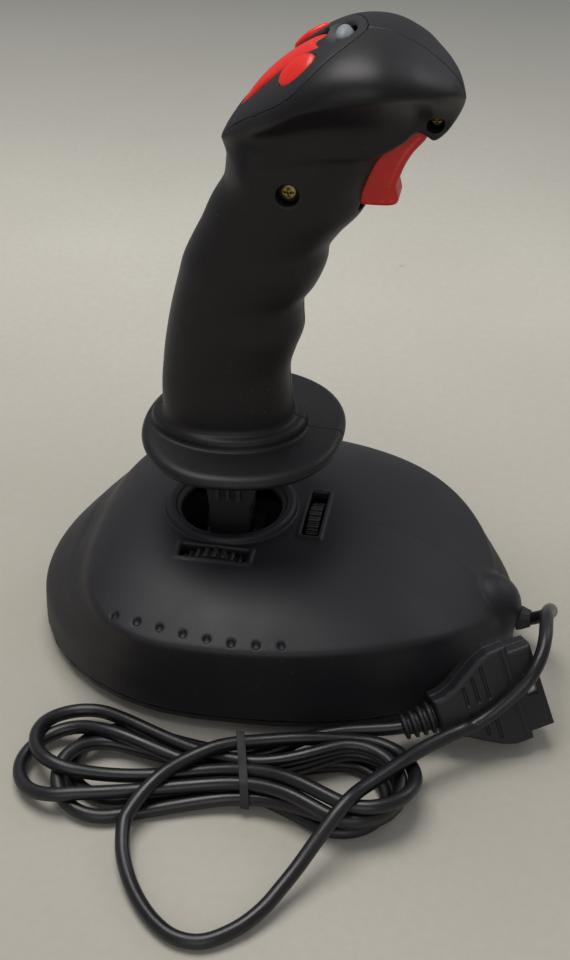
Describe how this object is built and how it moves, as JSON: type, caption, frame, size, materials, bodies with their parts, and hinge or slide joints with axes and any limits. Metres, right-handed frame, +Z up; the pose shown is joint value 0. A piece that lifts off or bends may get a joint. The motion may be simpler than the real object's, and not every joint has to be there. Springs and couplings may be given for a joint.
{
  "type": "flight joystick",
  "caption": "Desktop flight joystick with an egg-shaped base, two-axis sprung gimbal, contoured grip with trigger, thumb buttons and hat, trim wheels and a tied game-port cable.",
  "frame": {"origin": "centre of the base's box, on the surface the feet stand on", "axes": "+Z up, +Y forwards (the way the trigger points), +X to the user's right"},
  "size_m": [0.2363, 0.2014, 0.2385],
  "materials": {
    "case_black": "fine spark-eroded texture",
    "grip_black": "fine texture, slightly polished by the hand",
    "button_red": "satin, smooth",
    "trigger_red": "satin, smooth",
    "hat_grey": "smooth",
    "nylon_dark": "moulded nylon",
    "foot_rubber": "matt",
    "steel": "zinc plated",
    "brass_screw": "yellow passivated",
    "board": "solder-mask green",
    "cord_pvc": "semi-gloss PVC",
    "plug_black": "moulded PVC",
    "tin_plate": "tin plated"
  },
  "bodies": {
    "base": {"base_top_shell": "case_black", "base_bottom_cover": "case_black", "foot_rear_right": "foot_rubber", "foot_rear_left": "foot_rubber", "foot_front_right": "foot_rubber", "foot_front_left": "foot_rubber", "case_screw_1": "steel", "case_screw_2": "steel", "case_screw_3": "steel", "case_screw_4": "steel", "gimbal_frame": "nylon_dark", "gimbal_screw_1": "steel", "gimbal_screw_2": "steel", "gimbal_screw_3": "steel", "gimbal_screw_4": "steel", "pitch_spring": "steel", "roll_spring": "steel", "cord_grommet": "foot_rubber", "cord_lead": "cord_pvc", "cord_hank": "cord_pvc", "cord_tail": "cord_pvc", "cable_tie": "foot_rubber", "plug_strain_relief": "plug_black", "plug_hood": "plug_black", "plug_shell": "tin_plate", "plug_insert": "nylon_dark"},
    "pitch_trim": {"pitch_trim_wheel": "nylon_dark", "pitch_potentiometer": "nylon_dark"},
    "roll_trim": {"roll_trim_wheel": "nylon_dark", "roll_potentiometer": "nylon_dark"},
    "pitch_yoke": {"pitch_yoke": "nylon_dark", "gimbal_pin": "steel"},
    "roll_yoke": {"roll_yoke": "nylon_dark"},
    "stick": {"stick_shaft": "nylon_dark", "grip_right_half": "grip_black", "grip_left_half": "grip_black", "thumb_panel": "case_black", "button_board": "board", "key_switch_centre": "nylon_dark", "key_switch_right": "nylon_dark", "key_switch_left": "nylon_dark", "hat_switch": "nylon_dark", "trigger_pin": "steel", "trigger_spring": "steel", "grip_screw": "brass_screw", "chin_screw": "brass_screw"},
    "trigger": {"trigger": "trigger_red"},
    "thumb_button_centre": {"thumb_button_centre": "button_red"},
    "thumb_button_right": {"thumb_button_right": "button_red"},
    "thumb_button_left": {"thumb_button_left": "button_red"},
    "hat_rocker": {"hat_rocker": "nylon_dark"},
    "hat": {"hat_cap": "hat_grey"}
  },
  "joints": [
    {"name": "stick_pitch", "type": "hinge", "parent": "base", "child": "pitch_yoke", "pos_m": [0, -0.01825, 0.033], "axis": [1, 0, 0], "range_deg": [-15, 15], "stiffness_Nm_per_rad": 1.8, "springref_deg": 0.97},
    {"name": "stick_roll", "type": "hinge", "parent": "pitch_yoke", "child": "stick", "pos_m": [0, -0.01825, 0.033], "axis": [0, 1, 0], "range_deg": [-15, 15], "stiffness_Nm_per_rad": 1.8},
    {"name": "roll_yoke_swing", "type": "hinge", "parent": "base", "child": "roll_yoke", "pos_m": [0, -0.01825, 0.033], "axis": [0, 1, 0], "range_deg": [-15, 15]},
    {"name": "pitch_trim_turn", "type": "hinge", "parent": "base", "child": "pitch_trim", "pos_m": [0.03, -0.01825, 0.033], "axis": [1, 0, 0], "range_deg": [-30, 30]},
    {"name": "roll_trim_turn", "type": "hinge", "parent": "base", "child": "roll_trim", "pos_m": [0, 0.01375, 0.033], "axis": [0, 1, 0], "range_deg": [-30, 30]},
    {"name": "trigger_pull", "type": "hinge", "parent": "stick", "child": "trigger", "pos_m": [0, 0.04325, 0.21], "axis": [-1, 0, 0], "range_deg": [0, 9], "stiffness_Nm_per_rad": 0.8, "springref_deg": -2.86, "deforming": ["trigger_spring"]},
    {"name": "centre_button_press", "type": "slide", "parent": "stick", "child": "thumb_button_centre", "axis": [0, 0.6691, -0.7431], "range_m": [0, 0.0012], "stiffness_N_per_m": 1500, "springref_m": -0.0003},
    {"name": "right_button_press", "type": "slide", "parent": "stick", "child": "thumb_button_right", "axis": [0, 0.6691, -0.7431], "range_m": [0, 0.0012], "stiffness_N_per_m": 1500, "springref_m": -0.0003},
    {"name": "left_button_press", "type": "slide", "parent": "stick", "child": "thumb_button_left", "axis": [0, 0.6691, -0.7431], "range_m": [0, 0.0012], "stiffness_N_per_m": 1500, "springref_m": -0.0003},
    {"name": "hat_fore_aft", "type": "hinge", "parent": "stick", "child": "hat_rocker", "pos_m": [0, 0.02698, 0.22959], "axis": [1, 0, 0], "range_deg": [-6, 6], "stiffness_Nm_per_rad": 0.06},
    {"name": "hat_side", "type": "hinge", "parent": "hat_rocker", "child": "hat", "pos_m": [0, 0.02698, 0.22959], "axis": [0, 0.7431, 0.6691], "range_deg": [-6, 6], "stiffness_Nm_per_rad": 0.06}
  ],
  "couplings": [
    {"joint": "roll_yoke_swing", "follows": "stick_roll", "ratio": 1}
  ]
}
